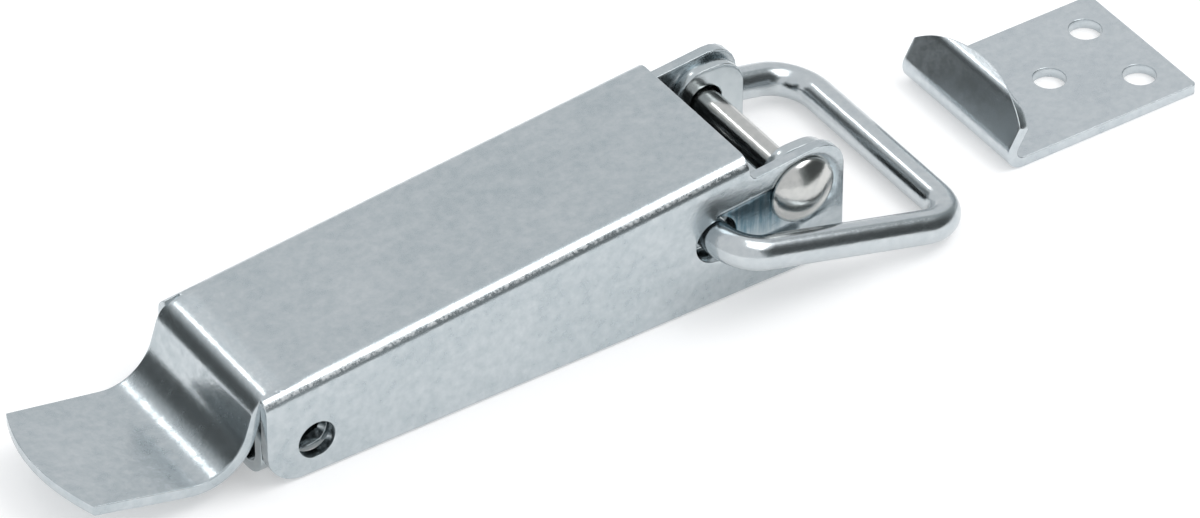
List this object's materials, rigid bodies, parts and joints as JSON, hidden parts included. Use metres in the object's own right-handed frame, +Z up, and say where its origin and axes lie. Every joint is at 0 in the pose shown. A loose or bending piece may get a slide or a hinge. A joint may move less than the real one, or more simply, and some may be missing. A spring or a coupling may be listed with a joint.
{
  "type": "over centre toggle latch",
  "caption": "Over centre toggle latch: channel lever with a thumb tab, riveted over a channel base, with a swinging wire bail and a separate hook keeper.",
  "frame": {"origin": "on the surface that the base is screwed to, straight below the axis of the pivot rivet, on the middle plane", "axes": "+X along the latch from the thumb tab to the keeper, +Y across it, +Z up from the mounting surface"},
  "size_m": [0.2246, 0.0556, 0.0274],
  "materials": {
    "lever_sheet": "bright zinc plated sheet, satin",
    "rivet_steel": "bright zinc plated, polished by forming",
    "bail_wire": "bright zinc plated drawn wire, glossy",
    "base_sheet": "bright zinc plated sheet, satin",
    "keeper_sheet": "bright zinc plated sheet, satin"
  },
  "bodies": {
    "base": {"base_plate": "base_sheet", "keeper": "keeper_sheet"},
    "lever": {"lever": "lever_sheet", "pivot_rivet": "rivet_steel"},
    "bail": {"wire_bail": "bail_wire"}
  },
  "joints": [
    {"name": "lever_swing", "type": "hinge", "parent": "base", "child": "lever", "pos_m": [0, 0, 0.0165], "axis": [0, 1, 0], "range_deg": [0, 160]},
    {"name": "bail_turn", "type": "hinge", "parent": "lever", "child": "bail", "pos_m": [-0.0175, 0, 0.0141], "axis": [0, 1, 0], "range_deg": [-160, 0]}
  ],
  "couplings": [
    {"joint": "bail_turn", "follows": "lever_swing", "ratio": -1}
  ]
}
